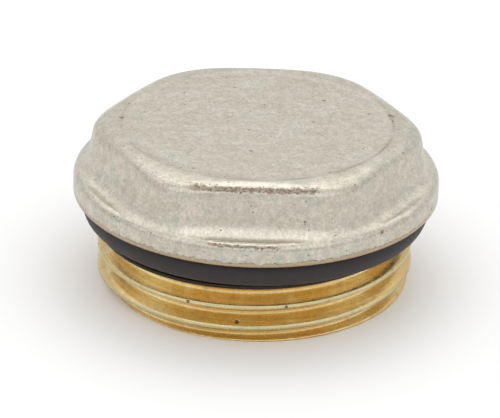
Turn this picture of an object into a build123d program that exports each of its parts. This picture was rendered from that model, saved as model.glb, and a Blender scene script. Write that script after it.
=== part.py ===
from build123d import *
import math
import os

# A blanking plug with a male parallel pipe thread: a hexagon head forged in one piece
# with its flange, a hollow threaded spigot, and a rubber sealing ring on the neck.
# Millimetres. The thread's axis is Z, and the plug stands on its thread end at z = 0.
# The spigot is the blank at the thread's crest radius, without the helical groove.

# Spigot
CREST_RADIUS = 16.55
THREAD_DEPTH = 1.45
FLANK_ANGLE = 27.5
END_CHAMFER = 0.85
THREAD_LENGTH = 6.10

# Sealing ring, which sits on the neck and touches the flange. Its round section is
# drawn with flat sides, one of them against the neck and one against the flange.
CORD_DIAMETER = 3.0
CORD_SIDES = 12
RING_CLEARANCE = 0.01

# Flange
FLANGE_RADIUS = 19.05
FLANGE_UNDERSIDE = 9.96
FLANGE_THICKNESS = 2.30
FLANGE_TOP_ROUNDING = 0.80
FLANGE_LOWER_CHAMFER = 0.12
RIM_DROP_AT_TRIM = 0.20

# Head: a drafted hexagon whose top has a round land and falls away to the corners
TOTAL_HEIGHT = 17.28
HALF_ACROSS_FLATS_TOP = 15.78
HEAD_DRAFT = 10.0
CORNER_ROUNDING = 8.00
HEAD_TURN = -0.8
LAND_INSIDE_FLATS = 1.33
CORNER_SLOPE = 13.0
HEAD_TOP_CHAMFER = 1.10
HEAD_TOP_EASING = 0.25
HEAD_BASE_FILLET = 1.20

# Hollow underneath, as forged
HOLLOW_MOUTH_RADIUS = 12.40
HOLLOW_DRAFT = 1.5
ROOF_THICKNESS = 3.60
HOLLOW_ROOF_CHAMFER = 1.50
MOUTH_CHAMFER = 0.50

# How near to a height an edge or face must lie to count as being at it, and how far
# from level, in degrees, a face of the head's top may slope
LEVEL_TOLERANCE = 0.001
STEEPEST_TOP = 35.0

# Values that follow from the ones above
CORE_RADIUS = CREST_RADIUS - THREAD_DEPTH
LAND_RADIUS = HALF_ACROSS_FLATS_TOP - LAND_INSIDE_FLATS
FLANGE_TOP = FLANGE_UNDERSIDE + FLANGE_THICKNESS
HOLLOW_DEPTH = TOTAL_HEIGHT - ROOF_THICKNESS
RING_CENTRE_RADIUS = CORE_RADIUS + RING_CLEARANCE + CORD_DIAMETER / 2
RING_CENTRE_Z = FLANGE_UNDERSIDE - RING_CLEARANCE - CORD_DIAMETER / 2


def tangent(degrees):
    return math.tan(math.radians(degrees))


def revolved(*outline):
    """Turn a closed outline of (radius, height) points about the thread's axis."""
    face = make_face(Plane.XZ * Polyline(*outline, close=True))
    return revolve(face, Axis.Z)


def disc(radius, bottom, top):
    """A plain round plate about the thread's axis, between two heights."""
    return revolved((0, bottom), (radius, bottom), (radius, top), (0, top))


def circles_at(solid, height):
    """The circular edges that lie in the level plane at this height."""
    level = solid.edges().filter_by(GeomType.CIRCLE)
    return level.filter_by_position(
        Axis.Z, height - LEVEL_TOLERANCE, height + LEVEL_TOLERANCE
    )


def spigot():
    """The threaded blank with its end chamfer, and the neck that the ring sits on."""
    run_out = THREAD_DEPTH * tangent(FLANK_ANGLE)
    return revolved(
        (0, 0),
        (CREST_RADIUS - END_CHAMFER, 0),
        (CREST_RADIUS, END_CHAMFER),
        (CREST_RADIUS, THREAD_LENGTH),
        (CORE_RADIUS, THREAD_LENGTH + run_out),
        (CORE_RADIUS, FLANGE_TOP),
        (0, FLANGE_TOP),
    )


def flange():
    """The round flange, before its top edge is rounded."""
    return revolved(
        (0, FLANGE_UNDERSIDE),
        (FLANGE_RADIUS - FLANGE_LOWER_CHAMFER, FLANGE_UNDERSIDE),
        (FLANGE_RADIUS, FLANGE_UNDERSIDE + FLANGE_LOWER_CHAMFER),
        (FLANGE_RADIUS, FLANGE_TOP),
        (0, FLANGE_TOP),
    )


def drafted_hexagon():
    """The forged hexagon, with one flat towards -Y before the head's small turn."""
    rise = TOTAL_HEIGHT - FLANGE_UNDERSIDE
    half_across_flats = HALF_ACROSS_FLATS_TOP + rise * tangent(HEAD_DRAFT)
    outline = RegularPolygon(half_across_flats, 6, major_radius=False, rotation=HEAD_TURN)
    block = extrude(Pos(0, 0, FLANGE_UNDERSIDE) * outline, rise, taper=HEAD_DRAFT)
    corners = block.edges().filter_by(lambda edge: edge.bounding_box().size.Z > rise / 2)
    return fillet(corners, CORNER_ROUNDING)


def top_envelope():
    """The turned shape that the hexagon is trimmed to: a flat land, then a cone."""
    reach = 2 * FLANGE_RADIUS
    fall = (reach - LAND_RADIUS) * tangent(CORNER_SLOPE)
    return revolved(
        (0, 0),
        (reach, 0),
        (reach, TOTAL_HEIGHT - fall),
        (LAND_RADIUS, TOTAL_HEIGHT),
        (0, TOTAL_HEIGHT),
    )


def outer_edges_of_top(block):
    """The edges where the land and the cone round it end, not the one between them."""
    facing_up = math.cos(math.radians(STEEPEST_TOP))
    top_faces = block.faces().filter_by(lambda face: face.normal_at().Z > facing_up)
    edges = [edge for face in top_faces for edge in face.edges()]
    return [edge for edge in edges if edges.count(edge) == 1]


def head():
    """The hexagon with its round land and the soft edge round its top."""
    block = drafted_hexagon() & top_envelope()
    block = chamfer(outer_edges_of_top(block), HEAD_TOP_CHAMFER)
    return chamfer(outer_edges_of_top(block), HEAD_TOP_EASING)


def hollow():
    """The forged hollow under the head, wider at its mouth."""
    roof_radius = HOLLOW_MOUTH_RADIUS - HOLLOW_DEPTH * tangent(HOLLOW_DRAFT)
    cavity = revolved(
        (0, 0),
        (HOLLOW_MOUTH_RADIUS, 0),
        (roof_radius, HOLLOW_DEPTH),
        (0, HOLLOW_DEPTH),
    )
    return chamfer(circles_at(cavity, HOLLOW_DEPTH), HOLLOW_ROOF_CHAMFER)


def head_on_foot():
    """The head with the fillet round its foot, which the flange's rounded edge trims."""
    plate = disc(2 * FLANGE_RADIUS, FLANGE_UNDERSIDE, FLANGE_TOP)
    block = plate + head()
    top_of_plate = block.faces().filter_by(Plane.XY).filter_by_position(
        Axis.Z, FLANGE_TOP - LEVEL_TOLERANCE, FLANGE_TOP + LEVEL_TOLERANCE
    )[0]
    foot = top_of_plate.inner_wires()[0].edges()
    block = fillet(foot, HEAD_BASE_FILLET)
    drop = FLANGE_TOP_ROUNDING - RIM_DROP_AT_TRIM
    reach = FLANGE_RADIUS - FLANGE_TOP_ROUNDING + math.sqrt(FLANGE_TOP_ROUNDING**2 - drop**2)
    return block & disc(reach, FLANGE_TOP - RIM_DROP_AT_TRIM, TOTAL_HEIGHT)


def plug_body():
    """Head, flange and spigot as the one forging they are."""
    rim = fillet(circles_at(flange(), FLANGE_TOP), FLANGE_TOP_ROUNDING)
    body = rim + head_on_foot() + spigot() - hollow()
    mouth = circles_at(body, 0).sort_by(SortBy.RADIUS)[0]
    return chamfer(mouth, MOUTH_CHAMFER)


def sealing_ring():
    """The rubber ring, at rest against the neck and the flange."""
    half_side = 180 / CORD_SIDES
    section = RegularPolygon(
        CORD_DIAMETER / 2, CORD_SIDES, major_radius=False, rotation=half_side
    )
    ring = revolve(Plane.XZ * Pos(RING_CENTRE_RADIUS, 0, 0) * section, Axis.Z)
    return Pos(0, 0, RING_CENTRE_Z) * ring


os.makedirs("parts", exist_ok=True)
for name, solid in (("plug_body", plug_body()), ("sealing_ring", sealing_ring())):
    export_step(solid, f"parts/{name}.step")
    box = solid.bounding_box()
    print(name, solid.is_valid, len(solid.solids()), round(solid.volume, 1), box.min, box.max)
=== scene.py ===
import math

import bpy
import numpy as np
from mathutils import Matrix, Vector


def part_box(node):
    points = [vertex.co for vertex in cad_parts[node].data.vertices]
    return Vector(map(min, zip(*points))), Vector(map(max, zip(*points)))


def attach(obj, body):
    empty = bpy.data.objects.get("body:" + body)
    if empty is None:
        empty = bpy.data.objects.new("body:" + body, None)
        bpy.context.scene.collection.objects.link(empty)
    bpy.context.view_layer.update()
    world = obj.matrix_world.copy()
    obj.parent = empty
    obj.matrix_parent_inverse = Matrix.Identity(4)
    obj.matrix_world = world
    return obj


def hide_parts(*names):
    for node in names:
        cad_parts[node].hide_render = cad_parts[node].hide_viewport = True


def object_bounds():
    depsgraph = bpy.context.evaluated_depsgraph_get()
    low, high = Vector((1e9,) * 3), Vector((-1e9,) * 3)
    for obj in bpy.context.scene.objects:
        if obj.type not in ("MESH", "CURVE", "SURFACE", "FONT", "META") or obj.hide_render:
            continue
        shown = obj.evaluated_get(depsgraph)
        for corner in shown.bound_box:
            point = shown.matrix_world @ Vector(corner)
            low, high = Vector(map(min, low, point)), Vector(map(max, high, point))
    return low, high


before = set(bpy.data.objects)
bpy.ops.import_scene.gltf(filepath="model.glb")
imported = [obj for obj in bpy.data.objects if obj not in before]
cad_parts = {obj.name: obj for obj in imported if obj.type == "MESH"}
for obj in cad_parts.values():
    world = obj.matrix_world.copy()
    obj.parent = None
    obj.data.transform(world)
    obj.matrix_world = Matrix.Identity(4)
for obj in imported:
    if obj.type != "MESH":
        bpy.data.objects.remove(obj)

FRAME_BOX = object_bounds()

# The looks of a blanking plug with a male parallel pipe thread: a nickel plated
# hexagon head and flange, a bare brass spigot with its thread, and a rubber ring.
# Sizes are in millimetres and become metres when a mesh is made. The thread's axis
# is Z, the plug stands on its thread end, and -Y faces the camera.
MM = 0.001

# Sizes taken from the frame
TOTAL_HEIGHT = FRAME_BOX[1][2] / MM
FLANGE_RADIUS = FRAME_BOX[1][0] / MM
RING_LOW, RING_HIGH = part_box("sealing_ring")
RING_BOTTOM = RING_LOW[2] / MM
RING_TOP = RING_HIGH[2] / MM
RING_OUTER_RADIUS = RING_HIGH[0] / MM

# Head: the drafted hexagon; the land, the crease where it ends, the curved fall from
# there to the corners and a faint step on it; the wide shoulder and the tight rounding
# of the edge; and the fillet at the foot
HALF_ACROSS_FLATS_TOP = 15.62
HEAD_DRAFT = 11.0
CORNER_ROUNDING_TOP = 7.80
HEAD_TURN = -0.9
LAND_RADIUS = 14.10
CREASE_SLOPE = 4.0
CREASE_SOFTNESS = 0.15
CORNER_CURVE = 0.048
LAND_STEP = 0.03
LAND_STEP_RADIUS = 12.10
LAND_STEP_WIDTH = 0.80
SHOULDER_RADIUS = 3.0
SHOULDER_TURN = 20.0
HEAD_TOP_ROUNDING = 0.95
HEAD_BASE_FILLET = 1.55

# Flange, with the radius that the fillet reaches at the head's corners
FLANGE_UNDERSIDE = 9.96
FLANGE_TOP = 12.34
FLANGE_TOP_ROUNDING = 0.85
FLANGE_LOWER_CHAMFER = 0.12
CORNER_FOOT_REACH = 18.65

# Spigot and its right-handed 55 degree thread, eleven turns to the inch
CREST_RADIUS = 16.55
CORE_RADIUS = 15.10
THREAD_PITCH = 2.309
FLANK_ANGLE = 27.5
CREST_HALF_WIDTH = 0.195
CREST_SOFTNESS = 0.10
ROOT_SOFTNESS = 0.10
CREST_HEIGHT_IN_FRONT = 4.18
RUN_OUT_HEIGHT = 6.70
THREAD_TOP = 7.45
END_CHAMFER = 0.85

# Hollow
HOLLOW_MOUTH_RADIUS = 12.40
HOLLOW_DRAFT = 1.5
HOLLOW_DEPTH = 13.68
HOLLOW_ROOF_FILLET = 2.20
MOUTH_CHAMFER = 0.50

# How finely the plug's surface is divided: columns round it, and rows of points across
# it, which are given by radius, height, spacing or number, or by shares of the way
COLUMNS_PER_FLAT = 44
COLUMNS_PER_CORNER = 20
LAND_RADII = (0.4, 2.0, 4.0, 6.0, 8.0, 10.0, 11.5, 12.0, 12.2, 12.4, 12.6, 12.8, 13.0)
FALL_ROWS = 11
SHOULDER_ROWS = 6
ROUNDING_ROWS = 7
SIDE_ROWS = 12
FILLET_ROWS = 10
FLAT_SHARES = (0.25, 0.5, 0.75, 1.0)
RIM_ROWS = 8
UNDERSIDE_SHARES = (0.1, 0.4, 0.7, 0.95, 1.0)
NECK_HEIGHTS = (9.2, 8.4, 7.8)
THREAD_ROW_SPACING = 0.060
END_SHARES = (0.2, 0.5, 0.8, 1.0)
WALL_ROWS = 8
ROOF_FILLET_ROWS = 6
ROOF_RADII = (8.0, 6.0, 4.0, 2.0, 0.5)

# What the flange's flat is widened by, so that no two rows fall together where the rim
# follows on the fillet at once
FLAT_MARGIN = 0.004

# How often the place where the head's side would meet its top is improved
MEETING_PASSES = 12

# Wear: how quickly polish comes and goes across a rounded edge; and how far below the
# middle of the fillet lies the highlight that is painted into its colour
POLISH_RATE = 3
FILLET_HIGHLIGHT_BIAS = 1.3

# Sealing ring
RING_COLUMNS = 360
RING_SECTION_STEPS = 36
RING_INSET = 0.995
MOULD_LINE_HEIGHT = 0.02
MOULD_LINE_WIDTH = 0.10

# Colours
NICKEL_WARM = (0.575, 0.530, 0.440, 1)
NICKEL_COOL = (0.535, 0.520, 0.448, 1)
NICKEL_ROSE = (0.605, 0.515, 0.455, 1)
NICKEL_GREEN = (0.520, 0.524, 0.428, 1)
# Painted highlight: the paler nickel of the fillet in front
NICKEL_FILLET_HIGHLIGHT = (0.770, 0.730, 0.630, 1)
# Dark brown: stains and the crease's dark line on the land, and the dark reflection painted on
# the edges in front
NICKEL_STAIN_AND_DARK_REFLECTION = (0.230, 0.170, 0.120, 1)
PIT_BROWN = (0.130, 0.085, 0.060, 1)
BRASS_PALE = (0.665, 0.565, 0.305, 1)
BRASS_GREY = (0.600, 0.540, 0.335, 1)
BRASS_DEEP = (0.750, 0.540, 0.225, 1)
# Painted reflection: pale brass for upright streaks in the thread's valleys
BRASS_PAINTED_REFLECTION = (0.820, 0.670, 0.370, 1)
BRASS_STAIN = (0.300, 0.190, 0.090, 1)
# Painted shadow of the ring on the last ridge of the thread
BRASS_RING_SHADOW = (0.018, 0.017, 0.017, 1)
BRASS_DULL = (0.440, 0.350, 0.230, 1)
RUBBER_DARK = (0.026, 0.020, 0.020, 1)
RUBBER_PALE = (0.034, 0.027, 0.026, 1)
DUST = (0.300, 0.280, 0.250, 1)

# Roughness: from and to, or a single value
SATIN_ROUGHNESS = (0.36, 0.46)
BURNISHED_ROUGHNESS = 0.16
BRASS_ROUGHNESS = (0.24, 0.38)
RUBBER_ROUGHNESS = (0.50, 0.62)
RUBBER_REFLECTION = 0.35

# Relief: how high the forging's waves, its smaller dents and its grain stand, and how
# deep a pit is, then the brass's turning marks, its dents and its blemishes, and the rubber
NICKEL_WAVES = 0.075
NICKEL_DENTS = 0.014
NICKEL_GRAIN = 0.005
PIT_DEPTH = 0.02
TURNING_MARKS = 0.006
BRASS_DENTS = 0.018
BRASS_BLEMISH_DEPTH = 0.05
RUBBER_GRAIN = 0.02

# Where the plating ends on the rim, how far that line strays up and down, and where it
# is plated again: up the hollow from its mouth
PLATING_EDGE = 10.45
PLATING_STRAY = 0.22
HOLLOW_PLATING_RADIUS = (12.5, 12.7)
HOLLOW_PLATING_HEIGHT = (0.4, 0.7)

# Where the ring's shadow is painted on the metal under it: the height at which this begins
# in front, from which it follows the thread's ridge, and the lowest that it comes, which is
# also its height behind
DARK_CREST = 6.24
DARK_CREST_LOWEST = 6.06

# The round crease where the land ends: the radii that its pits lie between, and those of
# its dark line
CREASE_RADII = (13.6, 15.0)
CREASE_LINE_RADII = (13.95, 14.25)

# Upright bands of the thread's valleys where reflections are painted as paler brass: from
# and to, across the front, and how pale
REFLECTION_BANDS = ((-12.5, -8.5, 1.0), (7.7, 11.4, 0.6))

# Dark lines painted on the edges in front, a dark reflection with worn specks in it: half
# width, middle, and the heights between which they lie
DARK_REFLECTION_EDGES = ((6.3, -0.1, 16.62, 17.00), (3.6, -1.1, 11.98, 12.20))

# Single blemishes: x, y, z and reach, on the land, the facet in front, the rim and the
# brass. They fade out at SPOT_EDGE times their reach.
SPOT_EDGE = 1.3
NICKEL_BLEMISHES = (
    (6.9, 6.4, 17.28, 0.26),
    (13.8, 2.9, 17.24, 0.40),
    (-7.8, 7.5, 17.28, 0.20),
    (-14.1, 0.6, 17.24, 0.36),
    (-6.3, -11.5, 17.25, 0.22),
    (-0.6, -7.0, 17.28, 0.34),
    (7.0, -16.3, 13.90, 0.24),
    (-0.2, -16.1, 14.70, 0.16),
    (12.9, -14.1, 12.00, 0.42),
    (18.1, -6.0, 10.80, 0.30),
)
BRASS_BLEMISHES = (
    (3.4, -16.2, 4.24, 0.30),
    (-1.6, -15.9, 2.40, 0.42),
    (-6.6, -15.2, 4.10, 0.34),
)

# The front's direction, in degrees round the axis from +X
FRONT = 270.0


def tangent(degrees):
    return math.tan(math.radians(degrees))


def soft_positive(value, softness):
    """The larger of the value and nothing, with a soft knee."""
    return 0.5 * (value + np.sqrt(value * value + softness * softness))


def smooth_step(value):
    """Runs softly from 0 at value 0 to 1 at value 1."""
    held = np.clip(value, 0.0, 1.0)
    return held * held * (3.0 - 2.0 * held)


def shares(count):
    """Even steps from just past 0 up to 1."""
    return np.linspace(0, 1, count + 1)[1:]


def polish(share):
    """Runs from 0 to 1, and gets there well before the share does."""
    return smooth_step(POLISH_RATE * share)


def hexagon_columns():
    """Points and outward normals round the head's rounded hexagon at its top."""
    straight_reach = HALF_ACROSS_FLATS_TOP - CORNER_ROUNDING_TOP
    half_straight = straight_reach * tangent(30)
    points = []
    normals = []
    for side in range(6):
        facing = math.radians(FRONT + HEAD_TURN + 60 * side)
        outward = np.array((math.cos(facing), math.sin(facing)))
        along = np.array((-outward[1], outward[0]))
        for step in range(COLUMNS_PER_FLAT):
            share = 2 * step / COLUMNS_PER_FLAT - 1
            points.append(outward * HALF_ACROSS_FLATS_TOP + along * half_straight * share)
            normals.append(outward)
        centre = outward * straight_reach + along * half_straight
        for step in range(COLUMNS_PER_CORNER):
            angle = facing + math.radians(60) * step / COLUMNS_PER_CORNER
            turned = np.array((math.cos(angle), math.sin(angle)))
            points.append(centre + turned * CORNER_ROUNDING_TOP)
            normals.append(turned)
    return np.array(points), np.array(normals)


def top_height(radius):
    """Height of the round land, with its faint step, and of the fall to the corners."""
    step = LAND_STEP * smooth_step((radius - LAND_STEP_RADIUS) / LAND_STEP_WIDTH)
    past = radius - LAND_RADIUS
    crease = soft_positive(past, CREASE_SOFTNESS) * tangent(CREASE_SLOPE)
    curve = CORNER_CURVE * np.maximum(past, 0.0) ** 2
    return TOTAL_HEIGHT - step - crease - curve


def top_slope(radius):
    step = 0.01
    return (top_height(radius + step) - top_height(radius - step)) / (2 * step)


def flange_drop(radius):
    """How far the flange's rounded rim lies below its flat at this radius."""
    past_flat = np.clip(
        radius - (FLANGE_RADIUS - FLANGE_TOP_ROUNDING), 0.0, FLANGE_TOP_ROUNDING
    )
    return FLANGE_TOP_ROUNDING - np.sqrt(FLANGE_TOP_ROUNDING**2 - past_flat**2)


class Rows:
    """Collects the rows of points that make up a surface of closed columns."""

    def __init__(self):
        self.rows = []
        self.polish_and_highlight = []

    def add(self, flat, height, polish_and_highlight=0.0):
        """One row: flat holds x and y of each column, height its z or one z for all.

        The last value runs up to 1 where wear has polished the metal, and down to -1 in the
        fillet, where a highlight is painted into the nickel's colour.
        """
        height = np.broadcast_to(np.asarray(height, dtype=float), (len(flat),))
        self.rows.append(np.column_stack((flat, height)))
        self.polish_and_highlight.append(np.broadcast_to(polish_and_highlight, (len(flat),)))

    def add_round(self, directions, radius, height, polish_and_highlight=0.0):
        """One row at a radius, in the columns' directions from the axis."""
        radius = np.broadcast_to(np.asarray(radius, dtype=float), (len(directions),))
        self.add(directions * radius[:, None], height, polish_and_highlight)


class HeadEdge:
    """The rounding between the head's top and its drafted side, column by column.

    In the plane of a column's normal it is a wide arc, the shoulder, and then a tight
    one. Each arc is given by its centre, as a reach outwards from the column's point
    and a height, and by the angles of the surface's normals at its ends.
    """

    def __init__(self, points, normals):
        self.points = points
        self.normals = normals
        draft = tangent(HEAD_DRAFT)
        out = np.zeros(len(points))
        for _ in range(MEETING_PASSES):
            out = (TOTAL_HEIGHT - top_height(self.radius_at(out))) * draft
        edge_radius = self.radius_at(out)
        facing = np.sum(points * normals, axis=1) / np.linalg.norm(points, axis=1)
        self.top_angle = np.arctan(top_slope(edge_radius) * facing) + math.pi / 2
        self.side_angle = math.radians(HEAD_DRAFT)
        self.meeting_angle = self.top_angle - math.radians(SHOULDER_TURN)

        # The tight arc touches the side, and the shoulder touches the top
        wider = SHOULDER_RADIUS - HEAD_TOP_ROUNDING
        below_top = SHOULDER_RADIUS - wider * math.cos(math.radians(SHOULDER_TURN))
        spread = np.sin(self.top_angle - self.side_angle)
        self.centre_out = out + (
            below_top * math.sin(self.side_angle) - HEAD_TOP_ROUNDING * np.sin(self.top_angle)
        ) / spread
        self.centre_height = top_height(edge_radius) + (
            HEAD_TOP_ROUNDING * np.cos(self.top_angle) - below_top * math.cos(self.side_angle)
        ) / spread
        self.shoulder_out = self.centre_out - wider * np.cos(self.meeting_angle)
        self.shoulder_height = self.centre_height - wider * np.sin(self.meeting_angle)

    def moved(self, out):
        """The columns' points, moved outwards along their normals."""
        return self.points + self.normals * np.reshape(out, (-1, 1))

    def radius_at(self, out):
        return np.linalg.norm(self.moved(out), axis=1)

    def on_shoulder(self, angle):
        """Points and heights on the shoulder, where its normal has this angle."""
        out = self.shoulder_out + SHOULDER_RADIUS * np.cos(angle)
        return self.moved(out), self.shoulder_height + SHOULDER_RADIUS * np.sin(angle)

    def on_rounding(self, angle):
        """Points and heights on the tight arc, where its normal has this angle."""
        out = self.centre_out + HEAD_TOP_ROUNDING * np.cos(angle)
        return self.moved(out), self.centre_height + HEAD_TOP_ROUNDING * np.sin(angle)


def add_top_rows(rows, edge):
    """From the middle of the land over the fall to the corners and the soft edge."""
    start, start_height = edge.on_shoulder(edge.top_angle)
    start_radius = np.linalg.norm(start, axis=1)
    lift = start_height - top_height(start_radius)
    for radius in LAND_RADII:
        rows.add(start * (radius / start_radius)[:, None], top_height(radius))
    for share in shares(FALL_ROWS):
        radius = LAND_RADII[-1] + (start_radius - LAND_RADII[-1]) * share
        flat = start * (radius / start_radius)[:, None]
        rows.add(flat, top_height(radius) + lift * share)
    for share in shares(SHOULDER_ROWS):
        angle = edge.top_angle + (edge.meeting_angle - edge.top_angle) * share
        rows.add(*edge.on_shoulder(angle), polish(share))
    for share in shares(ROUNDING_ROWS):
        angle = edge.meeting_angle + (edge.side_angle - edge.meeting_angle) * share
        rows.add(*edge.on_rounding(angle), polish(1 - share))


def add_side_rows(rows, edge):
    """Down the drafted side and its fillet, whose radius shrinks where the rim is near."""
    draft = math.radians(HEAD_DRAFT)
    foot_out = (TOTAL_HEIGHT - FLANGE_TOP) * math.tan(draft)
    foot_turn = math.pi / 2 - draft
    reach_per_radius = math.tan(foot_turn / 2)
    fillet_radius = np.minimum(
        HEAD_BASE_FILLET,
        (CORNER_FOOT_REACH - edge.radius_at(foot_out)) / reach_per_radius,
    )
    top_out = edge.centre_out + HEAD_TOP_ROUNDING * math.cos(draft)
    top_of_side = edge.centre_height + HEAD_TOP_ROUNDING * math.sin(draft)
    tangent_length = fillet_radius * reach_per_radius
    low_out = foot_out - tangent_length * math.sin(draft)
    low_height = FLANGE_TOP + tangent_length * math.cos(draft)
    for share in shares(SIDE_ROWS):
        flat = edge.moved(top_out + (low_out - top_out) * share)
        rows.add(flat, top_of_side + (low_height - top_of_side) * share)
    for share in shares(FILLET_ROWS):
        angle = foot_turn * (1 - share)
        flat = edge.moved(foot_out + tangent_length - fillet_radius * math.sin(angle))
        drop = flange_drop(np.linalg.norm(flat, axis=1)) * share
        height = FLANGE_TOP + fillet_radius * (1 - math.cos(angle)) - drop
        # Negative values mark the fillet, whose highlight is painted into the colour
        rows.add(flat, height, -math.sin(math.pi * share**FILLET_HIGHLIGHT_BIAS))
    return flat


def add_flange_rows(rows, directions, start_radius):
    """The flange's flat, its rounded rim, its edge and its underside up to the neck."""
    flat_end = FLANGE_RADIUS - FLANGE_TOP_ROUNDING
    begin = np.maximum(start_radius, flat_end)
    for share in FLAT_SHARES:
        radius = start_radius + (begin + FLAT_MARGIN - start_radius) * share
        rows.add_round(directions, radius, FLANGE_TOP - flange_drop(radius))
    first_angle = np.arcsin(np.clip((radius - flat_end) / FLANGE_TOP_ROUNDING, 0, 1))
    for share in shares(RIM_ROWS):
        angle = first_angle + (math.pi / 2 - first_angle) * share
        radius = flat_end + FLANGE_TOP_ROUNDING * np.sin(angle)
        height = FLANGE_TOP - FLANGE_TOP_ROUNDING * (1 - np.cos(angle))
        rows.add_round(directions, radius, height, polish(1 - share))
    rim_top = FLANGE_TOP - FLANGE_TOP_ROUNDING
    rim_bottom = FLANGE_UNDERSIDE + FLANGE_LOWER_CHAMFER
    for share in shares(RIM_ROWS):
        rows.add_round(directions, FLANGE_RADIUS, rim_top + (rim_bottom - rim_top) * share)
    inner = FLANGE_RADIUS - FLANGE_LOWER_CHAMFER
    rows.add_round(directions, inner, FLANGE_UNDERSIDE)
    for share in UNDERSIDE_SHARES:
        radius = inner + (CORE_RADIUS - inner) * share
        rows.add_round(directions, radius, FLANGE_UNDERSIDE)


def thread_radius(turn, height):
    """Radius of the threaded spigot, turn being degrees round the axis from +X."""
    lift = THREAD_PITCH * (turn - FRONT) / 360
    along = (height - CREST_HEIGHT_IN_FRONT - lift) / THREAD_PITCH
    ridge = np.round(along)
    from_crest = np.abs(along - ridge) * THREAD_PITCH
    root_depth = CREST_RADIUS - CORE_RADIUS
    depth = soft_positive(from_crest - CREST_HALF_WIDTH, CREST_SOFTNESS) / tangent(FLANK_ANGLE)
    depth = root_depth - soft_positive(root_depth - depth, ROOT_SOFTNESS)
    radius = CREST_RADIUS - depth
    limits = (
        CREST_RADIUS - END_CHAMFER + height,
        CREST_RADIUS - (height - RUN_OUT_HEIGHT) / tangent(FLANK_ANGLE),
    )
    for limit in limits:
        limit = np.maximum(limit, CORE_RADIUS)
        radius = radius - soft_positive(radius - limit, CREST_SOFTNESS)
    return radius


def add_spigot_rows(rows, directions):
    """The neck, the thread and the end chamfer."""
    turn = np.degrees(np.arctan2(directions[:, 1], directions[:, 0])) % 360
    turn = np.where(turn < 90, turn + 360, turn)
    for height in NECK_HEIGHTS:
        rows.add_round(directions, CORE_RADIUS, height)
    count = int(round(THREAD_TOP / THREAD_ROW_SPACING))
    for height in np.linspace(THREAD_TOP, 0, count + 1):
        rows.add_round(directions, thread_radius(turn, height), height)


def add_hollow_rows(rows, directions):
    """The flat end, the chamfered mouth and the forged hollow up to its roof."""
    end_radius = CREST_RADIUS - END_CHAMFER - CREST_SOFTNESS
    mouth = HOLLOW_MOUTH_RADIUS + MOUTH_CHAMFER
    for share in END_SHARES:
        rows.add_round(directions, end_radius + (mouth - end_radius) * share, 0.0)
    draft = tangent(HOLLOW_DRAFT)
    wall_top = HOLLOW_DEPTH - HOLLOW_ROOF_FILLET
    for share in np.linspace(0, 1, WALL_ROWS + 1):
        height = MOUTH_CHAMFER + (wall_top - MOUTH_CHAMFER) * share
        rows.add_round(directions, HOLLOW_MOUTH_RADIUS - height * draft, height)
    roof_radius = HOLLOW_MOUTH_RADIUS - wall_top * draft - HOLLOW_ROOF_FILLET
    for share in shares(ROOF_FILLET_ROWS):
        angle = math.pi / 2 * share
        radius = roof_radius + HOLLOW_ROOF_FILLET * math.cos(angle)
        rows.add_round(directions, radius, wall_top + HOLLOW_ROOF_FILLET * math.sin(angle))
    for radius in ROOF_RADII:
        rows.add_round(directions, radius, HOLLOW_DEPTH)


def smooth_piece(name, points, faces, polish_and_highlight=()):
    mesh = bpy.data.meshes.new(name)
    mesh.from_pydata(points.tolist(), [], faces)
    mesh.shade_smooth()
    if len(polish_and_highlight):
        mesh.attributes.new("polish_and_highlight", "FLOAT", "POINT").data.foreach_set("value", polish_and_highlight)
    piece = bpy.data.objects.new(name, mesh)
    bpy.context.scene.collection.objects.link(piece)
    return piece


def closed_surface(name, rows):
    """A mesh from rows of equal length, closed round, with a point at each end."""
    grid = np.array(rows.rows)
    polish_and_highlight = np.append(np.array(rows.polish_and_highlight).ravel(), (0.0, 0.0))
    row_count, column_count = grid.shape[:2]
    points = grid.reshape(-1, 3)
    ends = np.array((grid[0].mean(axis=0), grid[-1].mean(axis=0)))
    points = np.vstack((points, ends)) * MM
    here = np.arange(column_count)
    beside = np.roll(here, -1)
    faces = []
    for row in range(row_count - 1):
        upper = row * column_count
        lower = upper + column_count
        faces += np.column_stack(
            (upper + here, lower + here, lower + beside, upper + beside)
        ).tolist()
    first = row_count * column_count
    last_row = (row_count - 1) * column_count
    faces += [(first, int(a), int(b)) for a, b in zip(here, beside)]
    faces += [(first + 1, int(b), int(a)) for a, b in zip(last_row + here, last_row + beside)]
    return smooth_piece(name, points, faces, polish_and_highlight)


def looped_surface(name, rows):
    """A mesh from rows of equal length, closed both round and across."""
    grid = np.array(rows)
    row_count, column_count = grid.shape[:2]
    here = np.arange(column_count)
    beside = np.roll(here, -1)
    faces = []
    for row in range(row_count):
        upper = row * column_count
        lower = (row + 1) % row_count * column_count
        faces += np.column_stack(
            (upper + here, upper + beside, lower + beside, lower + here)
        ).tolist()
    return smooth_piece(name, grid.reshape(-1, 3) * MM, faces)


def make_plug():
    """Head, flange and threaded spigot as the one forging they are."""
    rows = Rows()
    edge = HeadEdge(*hexagon_columns())
    add_top_rows(rows, edge)
    foot = add_side_rows(rows, edge)
    start_radius = np.linalg.norm(foot, axis=1)
    directions = foot / start_radius[:, None]
    add_flange_rows(rows, directions, start_radius)
    add_spigot_rows(rows, directions)
    add_hollow_rows(rows, directions)
    plug = closed_surface("plated_plug", rows)
    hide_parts("plug_body")
    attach(plug, "root")
    return plug


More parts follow.
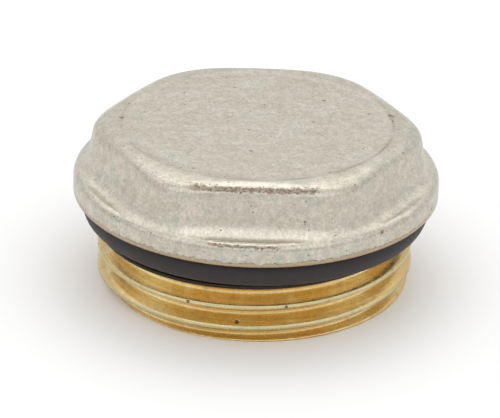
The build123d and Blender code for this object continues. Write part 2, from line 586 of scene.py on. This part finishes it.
def make_ring():
    """The rubber ring, round in section, with the faint parting line of its mould."""
    turns = np.linspace(0, 2 * math.pi, RING_COLUMNS, endpoint=False)
    directions = np.column_stack((np.cos(turns), np.sin(turns)))
    half_cord = (RING_TOP - RING_BOTTOM) / 2
    centre_radius = RING_OUTER_RADIUS - half_cord
    centre_height = (RING_TOP + RING_BOTTOM) / 2
    rows = Rows()
    for step in range(RING_SECTION_STEPS):
        angle = 2 * math.pi * step / RING_SECTION_STEPS
        ridge = MOULD_LINE_HEIGHT * math.exp(-((angle - math.pi) / MOULD_LINE_WIDTH) ** 2)
        reach = half_cord * RING_INSET + ridge
        radius = centre_radius - reach * math.cos(angle)
        rows.add_round(directions, radius, centre_height + reach * math.sin(angle))
    ring = looped_surface("rubber_ring", rows.rows)
    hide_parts("sealing_ring")
    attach(ring, "root")
    return ring


class Nodes:
    """A node tree, with short ways to add the nodes used here."""

    def __init__(self, tree):
        self.tree = tree

    def put(self, socket, value):
        """Link a socket to an output, or set it to a plain value."""
        if isinstance(value, bpy.types.NodeSocket):
            self.tree.links.new(value, socket)
        else:
            socket.default_value = value

    def place_from(self, kind):
        """Texture coordinates of this kind."""
        return self.tree.nodes.new("ShaderNodeTexCoord").outputs[kind]

    def math(self, operation, first, second=0.0):
        node = self.tree.nodes.new("ShaderNodeMath")
        node.operation = operation
        self.put(node.inputs[0], first)
        self.put(node.inputs[1], second)
        return node.outputs[0]

    def product(self, first, *others):
        """All of them multiplied."""
        for other in others:
            first = self.math("MULTIPLY", first, other)
        return first

    def vector(self, operation, first, second):
        """A vector operation. Those that give a number have it in the second output."""
        node = self.tree.nodes.new("ShaderNodeVectorMath")
        node.operation = operation
        self.put(node.inputs[0], first)
        self.put(node.inputs[1], second)
        return node.outputs

    def parts(self, vector):
        node = self.tree.nodes.new("ShaderNodeSeparateXYZ")
        self.put(node.inputs[0], vector)
        return node.outputs[0], node.outputs[1], node.outputs[2]

    def ramp(self, value, low, high, low_out=0.0, high_out=1.0):
        """Runs softly from low_out to high_out as the value goes from low to high."""
        node = self.tree.nodes.new("ShaderNodeMapRange")
        node.interpolation_type = "SMOOTHSTEP"
        for socket, number in zip(node.inputs, (value, low, high, low_out, high_out)):
            self.put(socket, number)
        return node.outputs[0]


class Shading(Nodes):
    """The node tree of a material, with short ways to add what gives it its looks."""

    def __init__(self, name):
        self.material = bpy.data.materials.new(name)
        self.material.use_nodes = True
        super().__init__(self.material.node_tree)
        self.shader = self.tree.nodes["Principled BSDF"]

        # The place on the object, in millimetres
        self.place = self.stretched(self.place_from("Object"), (1 / MM, 1 / MM, 1 / MM))

    def stored(self, name):
        """A value kept with the mesh."""
        node = self.tree.nodes.new("ShaderNodeAttribute")
        node.attribute_name = name
        return node.outputs["Fac"]

    def stretched(self, vector, factors):
        return self.vector("MULTIPLY", vector, factors)[0]

    def noise(self, vector, scale, detail=2.0, roughness=0.5):
        node = self.tree.nodes.new("ShaderNodeTexNoise")
        self.put(node.inputs["Vector"], vector)
        self.put(node.inputs["Scale"], scale)
        self.put(node.inputs["Detail"], detail)
        self.put(node.inputs["Roughness"], roughness)
        return node.outputs[0]

    def cells(self, vector, scale):
        """Distance to the nearest of scattered points, and a random value for it."""
        node = self.tree.nodes.new("ShaderNodeTexVoronoi")
        self.put(node.inputs["Vector"], vector)
        self.put(node.inputs["Scale"], scale)
        return node.outputs["Distance"], self.parts(node.outputs["Color"])[0]

    def band(self, value, low, high, soft):
        """1 where the value lies between low and high, with soft ends."""
        rise = self.ramp(value, low - soft, low + soft)
        fall = self.ramp(value, high - soft, high + soft, 1.0, 0.0)
        return self.math("MULTIPLY", rise, fall)

    def grey(self, value):
        """A colour with this value in all three channels."""
        node = self.tree.nodes.new("ShaderNodeCombineColor")
        for socket in node.inputs:
            self.put(socket, value)
        return node.outputs[0]

    def blend(self, share, first, second):
        """A number between two numbers."""
        node = self.tree.nodes.new("ShaderNodeMix")
        self.put(node.inputs[0], share)
        self.put(node.inputs[2], first)
        self.put(node.inputs[3], second)
        return node.outputs[0]

    def mix(self, share, first, second, blend="MIX"):
        """A colour between two colours."""
        node = self.tree.nodes.new("ShaderNodeMix")
        node.data_type = "RGBA"
        node.blend_type = blend
        self.put(node.inputs[0], share)
        self.put(node.inputs[6], first)
        self.put(node.inputs[7], second)
        return node.outputs[2]

    def shaded(self, colour, level):
        """The colour made darker or lighter, a level of 1 leaving it as it is."""
        return self.mix(1.0, colour, self.grey(level), "MULTIPLY")

    def spots(self, blemishes):
        """1 at each blemish and 0 beyond its ragged reach, in millimetres."""
        ragged = self.noise(self.place, 3.0, 2.0, 0.6)
        total = 0.0
        for x, y, z, reach in blemishes:
            away = self.vector("DISTANCE", self.place, (x, y, z))[1]
            away = self.math("ADD", away, self.math("MULTIPLY", ragged, reach))
            spot = self.ramp(away, reach, reach * SPOT_EDGE, 1.0, 0.0)
            total = self.math("MAXIMUM", total, spot)
        return total

    def bump(self, height):
        """Relief from a height in millimetres."""
        node = self.tree.nodes.new("ShaderNodeBump")
        self.put(node.inputs["Height"], height)
        self.put(node.inputs["Distance"], MM)
        return node.outputs[0]


def dark_reflection_line(s, across, along, height, half_width, middle, low, high):
    """A ragged dark line painted on an edge in front, where it stands for a dark reflection."""
    ends = s.band(across, middle - half_width, middle + half_width, 0.5)
    ragged = s.noise(s.stretched(s.place, (1.0, 1.0, 0.6)), 1.7, 3.0, 0.7)
    level = s.math("ADD", height, s.ramp(ragged, 0.25, 0.75, -0.11, 0.11))
    in_front = s.math("LESS_THAN", along, 0.0)
    return s.product(ends, s.band(level, low, high, 0.04), in_front)


def pits(s, scale, widest, crowd):
    """Small dark pits in scattered places, more of them where it is crowded."""
    bent = s.math("MULTIPLY", s.noise(s.place, scale * 2.5, 2.0), widest * 1.2)
    far, lot = s.cells(s.place, scale)
    size = s.math("ADD", s.ramp(lot, 0.5, 1.0, widest * 0.5, widest), bent)
    picked = s.math("GREATER_THAN", lot, s.ramp(crowd, 0.0, 1.0, 0.97, 0.55))
    inside = s.math("LESS_THAN", far, s.math("MULTIPLY", size, 0.6))
    return s.math("MULTIPLY", inside, picked)


def mottled_nickel(s, across, stored_polish_and_highlight, cloud, blotch, grain):
    """The plating's own colour, with a highlight painted into the fillet in front."""
    tint = s.noise(s.stretched(s.place, (1.0, -1.0, 1.3)), 1.9, 4.0, 0.7)
    colour = s.mix(s.ramp(cloud, 0.30, 0.70), NICKEL_WARM, NICKEL_COOL)
    colour = s.mix(s.ramp(blotch, 0.50, 0.66, 0.0, 0.75), colour, NICKEL_ROSE)
    colour = s.mix(s.ramp(tint, 0.50, 0.64, 0.0, 0.65), colour, NICKEL_GREEN)
    # Painted highlight: the fillet in front made paler than the rest
    fillet_highlight = s.math("MAXIMUM", s.math("MULTIPLY", stored_polish_and_highlight, -1.0), 0.0)
    in_front = s.ramp(s.math("ABSOLUTE", across), 6.0, 9.0, 1.0, 0.2)
    colour = s.mix(s.math("MULTIPLY", fillet_highlight, in_front), colour, NICKEL_FILLET_HIGHLIGHT)
    colour = s.shaded(colour, s.ramp(grain, 0.28, 0.72, 0.80, 1.15))
    colour = s.shaded(colour, s.ramp(blotch, 0.32, 0.68, 0.89, 1.08))
    return s.shaded(colour, s.ramp(cloud, 0.35, 0.65, 0.97, 1.03))


def crease_strength(s, across, along, radius, height):
    """How strong the land's crease is: broken, and weaker at the left and behind."""
    return s.product(
        s.band(radius, *CREASE_RADII, 0.6),
        s.ramp(height, 16.4, 16.9),
        s.ramp(across, 0.0, 6.0, 0.5, 1.0),
        s.ramp(s.noise(s.place, 0.22, 2.0), 0.38, 0.56, 0.1, 1.0),
        s.ramp(along, 2.0, 9.0, 1.0, 0.3),
    )


def nickel_look(s, radius, height):
    """Colour, roughness and relief of the worn nickel plating."""
    across, along, _ = s.parts(s.place)
    stored_polish_and_highlight = s.stored("polish_and_highlight")
    cloud = s.noise(s.place, 0.33, 3.0, 0.6)
    blotch = s.noise(s.place, 1.1, 5.0, 0.7)
    grain = s.noise(s.place, 3.6, 4.0, 0.8)
    colour = mottled_nickel(s, across, stored_polish_and_highlight, cloud, blotch, grain)

    # Dark reflections painted as ragged lines on the edges in front, speckled like worn plating
    lines = 0.0
    for edge in DARK_REFLECTION_EDGES:
        lines = s.math("MAXIMUM", lines, dark_reflection_line(s, across, along, height, *edge))
    specks = s.ramp(s.noise(s.place, 3.2, 3.0, 0.75), 0.44, 0.56, 0.50, 1.0)
    colour = s.mix(s.math("MULTIPLY", lines, specks), colour, NICKEL_STAIN_AND_DARK_REFLECTION)

    # Pits and stains are thick in patches, and on the round crease where the land ends
    crease = crease_strength(s, across, along, radius, height)
    line = s.product(crease, s.band(radius, *CREASE_LINE_RADII, 0.10))
    line = s.product(line, s.ramp(blotch, 0.35, 0.6, 0.2, 0.7))
    stained = s.math("MULTIPLY", crease, s.ramp(grain, 0.48, 0.62, 0.0, 0.45))
    colour = s.mix(s.math("MAXIMUM", stained, line), colour, NICKEL_STAIN_AND_DARK_REFLECTION)
    patchy = s.ramp(s.noise(s.place, 0.28, 2.0), 0.50, 0.66)
    patchy = s.product(patchy, s.ramp(height, 16.2, 16.8, 0.3, 1.0), 0.6)
    crowd = s.math("MAXIMUM", patchy, s.math("MULTIPLY", crease, 1.4))
    pit = s.math("MAXIMUM", pits(s, 1.2, 0.16, crowd), pits(s, 2.6, 0.22, crowd))
    pit = s.math("MAXIMUM", pit, s.spots(NICKEL_BLEMISHES))
    colour = s.mix(s.math("MULTIPLY", pit, 0.70), colour, PIT_BROWN)

    # Burnished on the edges, most of all in front; only the positive part of the stored value,
    # the polish, counts here
    polish_and_highlight = s.math("MAXIMUM", stored_polish_and_highlight, 0.0)
    in_front = s.ramp(along, -11.5, -7.0, 1.0, 0.15)
    satin = s.ramp(cloud, 0.2, 0.8, *SATIN_ROUGHNESS)
    roughness = s.blend(s.math("MULTIPLY", polish_and_highlight, in_front), satin, BURNISHED_ROUGHNESS)
    relief = s.math("MULTIPLY", s.noise(s.place, 0.45, 2.0), NICKEL_WAVES)
    dents = s.math("MULTIPLY", s.noise(s.place, 1.5, 2.0, 0.6), NICKEL_DENTS)
    relief = s.math("ADD", relief, dents)
    relief = s.math("ADD", relief, s.math("MULTIPLY", grain, NICKEL_GRAIN))
    relief = s.math("MULTIPLY", relief, s.ramp(polish_and_highlight, 0.0, 1.0, 1.0, 0.5))
    relief = s.math("SUBTRACT", relief, s.math("MULTIPLY", pit, PIT_DEPTH))
    return colour, roughness, relief


def turned_brass(s, across, radius, stain):
    """The bare brass, pale on the crests, deep in the valleys, and stained, with reflections
    painted in the valleys and shade painted at the sides.
    """
    cloud = s.noise(s.stretched(s.place, (1.0, 1.0, 0.4)), 0.9, 3.0)
    valley = s.ramp(radius, 16.30, 16.50, 1.0, 0.0)
    colour = s.mix(valley, BRASS_PALE, BRASS_DEEP)
    crest = s.math("SUBTRACT", 1.0, valley)
    colour = s.mix(s.product(s.ramp(cloud, 0.50, 0.62, 0.0, 0.7), crest), colour, BRASS_GREY)
    # Painted reflections: pale upright streaks in the valleys, and bands across the front
    painted_reflection = s.ramp(s.noise(s.stretched(s.place, (1.0, 1.0, 0.05)), 0.32, 2.0, 0.6), 0.50, 0.72)
    for low, high, level in REFLECTION_BANDS:
        painted_reflection = s.math("MAXIMUM", painted_reflection, s.math("MULTIPLY", s.band(across, low, high, 1.2), level))
    colour = s.mix(s.math("MULTIPLY", valley, painted_reflection), colour, BRASS_PAINTED_REFLECTION)
    # Painted shade: the brass darker towards the left and right sides
    colour = s.shaded(colour, s.ramp(s.math("ABSOLUTE", across), 11.0, 15.5, 1.0, 0.84))
    return s.mix(s.ramp(stain, 0.58, 0.75, 0.0, 0.45), colour, BRASS_STAIN)


def ring_shadow_mask(s, across, along, height):
    """1 on the last ridge of the thread beside the ring, and above it, where the ring's shadow is
    painted.
    """
    ragged = s.noise(s.stretched(s.place, (1.0, 1.0, 0.3)), 1.1, 3.0, 0.6)
    round_axis = s.math("ARCTAN2", across, s.math("MULTIPLY", along, -1.0))
    lift = s.math("MULTIPLY", round_axis, THREAD_PITCH / (2 * math.pi))
    limit = s.math("MAXIMUM", s.math("ADD", lift, DARK_CREST), DARK_CREST_LOWEST)
    behind = s.ramp(s.math("ABSOLUTE", round_axis), 1.9, 2.9)
    limit = s.blend(behind, limit, DARK_CREST_LOWEST)
    limit = s.math("ADD", limit, s.ramp(ragged, 0.2, 0.8, -0.04, 0.04))
    return s.ramp(s.math("SUBTRACT", height, limit), -0.05, 0.05)


def brass_look(s, radius, height):
    """Colour, roughness and relief of the turned brass."""
    across, along, _ = s.parts(s.place)
    stain = s.noise(s.stretched(s.place, (1.0, 1.0, 1.6)), 0.8, 4.0, 0.65)
    colour = turned_brass(s, across, radius, stain)
    # Painted shadow of the ring, near black, on the last ridge and above it
    ring_shadow = s.math("MULTIPLY", ring_shadow_mask(s, across, along, height), 0.97)
    colour = s.mix(ring_shadow, colour, BRASS_RING_SHADOW)
    colour = s.mix(s.ramp(height, 9.2, 9.6), colour, BRASS_DULL)
    marks = s.spots(BRASS_BLEMISHES)
    colour = s.mix(s.math("MULTIPLY", marks, 0.85), colour, PIT_BROWN)
    lines = s.noise(s.stretched(s.place, (0.12, 0.12, 9.0)), 1.0, 2.0)
    colour = s.shaded(colour, s.ramp(lines, 0.3, 0.7, 0.88, 1.06))
    colour = s.shaded(colour, s.ramp(s.noise(s.place, 3.0, 3.0, 0.7), 0.3, 0.7, 0.93, 1.05))
    roughness = s.ramp(stain, 0.3, 0.8, *BRASS_ROUGHNESS)
    relief = s.math("MULTIPLY", lines, TURNING_MARKS)
    dents = s.math("MULTIPLY", s.noise(s.place, 1.2, 3.0), BRASS_DENTS)
    relief = s.math("ADD", relief, dents)
    relief = s.math("SUBTRACT", relief, s.math("MULTIPLY", marks, BRASS_BLEMISH_DEPTH))
    return colour, roughness, relief


def metal_material():
    """Nickel plating that ends on the flange's rim, and bare brass below it."""
    s = Shading("plated_brass")
    across, along, height = s.parts(s.place)
    radius = s.math("SQRT", s.math("ADD", s.math("POWER", across, 2), s.math("POWER", along, 2)))
    ragged = s.noise(s.stretched(s.place, (1.0, 1.0, 0.2)), 1.3, 4.0, 0.7)
    stray = s.ramp(ragged, 0.2, 0.8, -PLATING_STRAY, PLATING_STRAY)
    above = s.math("SUBTRACT", height, s.math("ADD", stray, PLATING_EDGE))
    inside = s.product(
        s.ramp(radius, *HOLLOW_PLATING_RADIUS, 1.0, 0.0),
        s.ramp(height, *HOLLOW_PLATING_HEIGHT),
    )
    plated = s.math("MAXIMUM", s.ramp(above, -0.05, 0.05), inside)
    nickel = nickel_look(s, radius, height)
    brass = brass_look(s, radius, height)
    colour = s.mix(plated, brass[0], nickel[0])
    dots = s.ramp(s.noise(s.place, 4.0, 2.0, 0.7), 0.56, 0.66)
    fringe = s.product(s.band(above, -0.10, 0.14, 0.10), dots, 0.8)
    colour = s.mix(fringe, colour, PIT_BROWN)
    s.put(s.shader.inputs["Base Color"], colour)
    s.put(s.shader.inputs["Metallic"], 1.0)
    s.put(s.shader.inputs["Roughness"], s.blend(plated, brass[1], nickel[1]))
    s.put(s.shader.inputs["Normal"], s.bump(s.blend(plated, brass[2], nickel[2])))
    return s.material


def rubber_material():
    """Black rubber with a little dust."""
    s = Shading("black_rubber")
    cloud = s.noise(s.place, 0.6, 3.0, 0.6)
    colour = s.mix(s.ramp(cloud, 0.3, 0.7), RUBBER_DARK, RUBBER_PALE)
    far, lot = s.cells(s.place, 1.1)
    picked = s.math("GREATER_THAN", lot, 0.8)
    colour = s.mix(s.product(s.ramp(far, 0.06, 0.13, 1.0, 0.0), picked, 0.35), colour, DUST)
    grain = s.math("MULTIPLY", s.noise(s.place, 3.0, 3.0, 0.6), RUBBER_GRAIN)
    s.put(s.shader.inputs["Base Color"], colour)
    s.put(s.shader.inputs["Roughness"], s.ramp(cloud, 0.3, 0.7, *RUBBER_ROUGHNESS))
    s.put(s.shader.inputs["Specular IOR Level"], RUBBER_REFLECTION)
    s.put(s.shader.inputs["Normal"], s.bump(grain))
    return s.material


plug = make_plug()
plug.data.materials.append(metal_material())
ring = make_ring()
ring.data.materials.append(rubber_material())

# Camera, at the photograph's viewing angle
FRAME_WIDTH = 500
FRAME_HEIGHT = 418
CAMERA_DISTANCE = 0.340
CAMERA_ELEVATION = 25.44
CAMERA_ROLL = 1.485
CAMERA_TARGET = Vector((0.0, 0.0, 0.007))
FOCAL_PIXELS = 3241.5
TARGET_PIXEL = (255.26, 212.80)
SENSOR_WIDTH = 36.0


def make_camera():
    data = bpy.data.cameras.new("camera")
    data.sensor_width = SENSOR_WIDTH
    data.lens = FOCAL_PIXELS * SENSOR_WIDTH / FRAME_WIDTH
    data.shift_x = (FRAME_WIDTH / 2 - TARGET_PIXEL[0]) / FRAME_WIDTH
    data.shift_y = (TARGET_PIXEL[1] - FRAME_HEIGHT / 2) / FRAME_WIDTH
    data.clip_start = 0.01
    data.clip_end = 10.0
    camera = bpy.data.objects.new("camera", data)
    bpy.context.scene.collection.objects.link(camera)
    elevation = math.radians(CAMERA_ELEVATION)
    away = Vector((0.0, -math.cos(elevation), math.sin(elevation)))
    look = (-away).to_track_quat("-Z", "Y").to_matrix().to_4x4()
    roll = Matrix.Rotation(math.radians(CAMERA_ROLL), 4, "Z")
    camera.matrix_world = Matrix.Translation(CAMERA_TARGET + away * CAMERA_DISTANCE) @ look @ roll
    bpy.context.scene.camera = camera


make_camera()


# The floor, in metres
FLOOR_HALF_SIDE = 1.5
FLOOR_COLOUR = (0.93, 0.93, 0.93, 1)
FLOOR_ROUGHNESS = 0.9


def make_floor():
    mesh = bpy.data.meshes.new("floor")
    half = FLOOR_HALF_SIDE
    mesh.from_pydata(
        [(-half, -half, 0), (half, -half, 0), (half, half, 0), (-half, half, 0)],
        [],
        [(0, 1, 2, 3)],
    )
    floor = bpy.data.objects.new("floor", mesh)
    bpy.context.scene.collection.objects.link(floor)
    material = bpy.data.materials.new("pale_floor")
    material.use_nodes = True
    shader = material.node_tree.nodes["Principled BSDF"]
    shader.inputs["Base Color"].default_value = FLOOR_COLOUR
    shader.inputs["Roughness"].default_value = FLOOR_ROUGHNESS
    mesh.materials.append(material)


make_floor()


# The studio's brightness from the front horizon over the top to the back one, by angle.
# The bright strip is the softbox overhead. From the middle to SIDE_REACHED, a share of the
# way to straight aside, this gives way to a plain level.
SKY = ((0, 0.88), (14, 0.84), (26, 0.92), (42, 1.16), (86, 1.16), (95, 1.02), (103, 1.90),
       (136, 1.90), (147, 0.83), (180, 0.81))
SIDE_REACHED = 0.90
SIDE_LEVEL = 0.86

# Softboxes in front, at the left and right: degrees round from the front, degrees up,
# the reach of each, its soft edge, and what it adds
LAMPS = ((-58, 45, 20, 12, 0.25), (58, 45, 20, 12, 0.25))

# The backdrop, white to the camera and to what metal reflects, ends at this elevation
BACKDROP_TOP = (8, 16)


class Studio(Nodes):
    """The world's node tree, with what lights the object."""

    def __init__(self):
        self.world = bpy.data.worlds.new("studio")
        self.world.use_nodes = True
        super().__init__(self.world.node_tree)
        self.background = self.tree.nodes["Background"]
        self.direction = self.place_from("Generated")

    def lamp(self, round_angle, up_angle, reach, soft, level):
        """What a round softbox adds, seen from the object."""
        aim = (
            math.sin(math.radians(round_angle)) * math.cos(math.radians(up_angle)),
            -math.cos(math.radians(round_angle)) * math.cos(math.radians(up_angle)),
            math.sin(math.radians(up_angle)),
        )
        along = self.vector("DOT_PRODUCT", self.direction, aim)[1]
        near = math.cos(math.radians(reach - soft))
        far = math.cos(math.radians(reach + soft))
        return self.ramp(along, far, near, 0.0, level)

    def sky(self):
        """The brightness over the object, which gives way to a plain level at the sides."""
        across, along, rise = self.parts(self.direction)
        angle = self.math("ARCTAN2", rise, self.math("MULTIPLY", along, -1.0))
        curve = self.tree.nodes.new("ShaderNodeValToRGB")
        self.put(curve.inputs[0], self.math("DIVIDE", angle, math.pi))
        elements = curve.color_ramp.elements
        brightest = max(level for _, level in SKY)
        for _ in SKY[len(elements):]:
            elements.new(1.0)
        for element, (degrees, level) in zip(elements, SKY):
            shade = level / brightest
            element.position = degrees / 180
            element.color = (shade, shade, shade, 1)
        overhead = self.math("MULTIPLY", curve.outputs[0], brightest)
        aside = self.ramp(self.math("ABSOLUTE", across), 0.0, SIDE_REACHED)
        overhead = self.math("MULTIPLY", overhead, self.math("SUBTRACT", 1.0, aside))
        level = self.math("ADD", overhead, self.math("MULTIPLY", aside, SIDE_LEVEL))
        return level, rise


def make_world():
    """White to the camera, and a plain studio to everything that the metal reflects."""
    studio = Studio()
    bpy.context.scene.world = studio.world
    level, rise = studio.sky()
    for lamp in LAMPS:
        level = studio.math("ADD", level, studio.lamp(*lamp))
    low, high = (math.sin(math.radians(angle)) for angle in BACKDROP_TOP)
    backdrop = studio.ramp(rise, low, high, 1.0, 0.0)
    path = studio.tree.nodes.new("ShaderNodeLightPath").outputs
    mirrored = studio.math("MAXIMUM", path["Is Glossy Ray"], path["Is Transmission Ray"])
    mirrored = studio.math("MULTIPLY", mirrored, backdrop)
    white = studio.math("MAXIMUM", path["Is Camera Ray"], mirrored)
    studio.put(studio.background.inputs["Color"], (1, 1, 1, 1))
    studio.put(studio.background.inputs["Strength"], studio.math("MAXIMUM", level, white))


make_world()

bpy.context.scene.view_settings.view_transform = "Standard"
